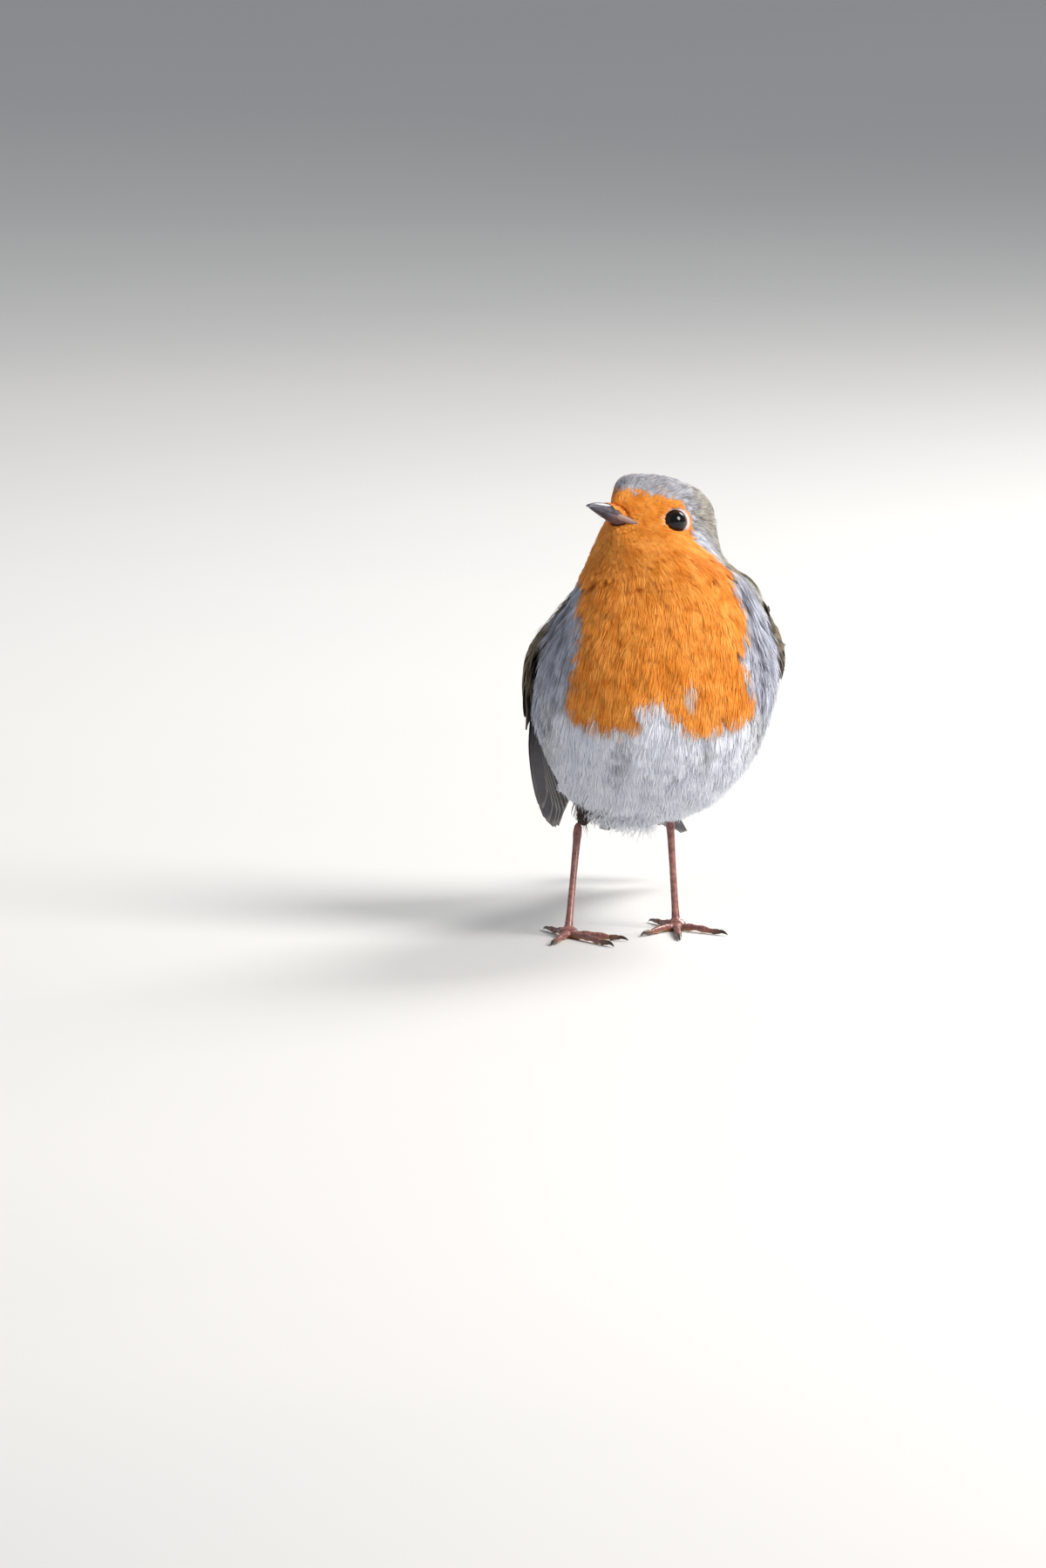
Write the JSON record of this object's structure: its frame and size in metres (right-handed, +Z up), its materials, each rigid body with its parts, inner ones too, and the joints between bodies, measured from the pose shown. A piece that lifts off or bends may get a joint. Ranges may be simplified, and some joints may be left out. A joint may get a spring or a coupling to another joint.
{
  "type": "European robin figure",
  "caption": "Life-size still figure of a standing European robin, plump, orange-breasted, head turned to its right.",
  "frame": {"origin": "on the floor, under the middle of the bird's bounding box", "axes": "+Z up, the breast faces -Y, the bird's left is at +X and the tail points to +Y"},
  "size_m": [0.0622, 0.1268, 0.1109],
  "materials": {
    "orange_plumage": "matt, soft feathers",
    "pale_plumage": "matt, soft feathers",
    "olive_plumage": "matt, soft feathers",
    "wing_feathers": "smooth feather vanes, faint sheen",
    "eye": "wet gloss",
    "bill_horn": "satin horn",
    "leg_scales": "satin scales",
    "claw_horn": "satin horn"
  },
  "bodies": {
    "root": {"belly": "pale_plumage", "bill_lower": "bill_horn", "bill_upper": "bill_horn", "breast": "orange_plumage", "claw_hind_left": "claw_horn", "claw_hind_right": "claw_horn", "claw_inner_left": "claw_horn", "claw_inner_right": "claw_horn", "claw_middle_left": "claw_horn", "claw_middle_right": "claw_horn", "claw_outer_left": "claw_horn", "claw_outer_right": "claw_horn", "eye_left": "eye", "eye_right": "eye", "flight_feathers_left": "wing_feathers", "flight_feathers_right": "wing_feathers", "foot_left": "leg_scales", "foot_right": "leg_scales", "head": "orange_plumage", "neck": "orange_plumage", "rump": "olive_plumage", "tail": "wing_feathers", "tarsus_left": "leg_scales", "tarsus_right": "leg_scales", "tibia_right": "olive_plumage", "toe_hind_left": "leg_scales", "toe_hind_right": "leg_scales", "toe_inner_left": "leg_scales", "toe_inner_right": "leg_scales", "toe_middle_left": "leg_scales", "toe_middle_right": "leg_scales", "toe_outer_left": "leg_scales", "toe_outer_right": "leg_scales", "wing_left": "olive_plumage", "wing_right": "olive_plumage"}
  },
  "joints": []
}
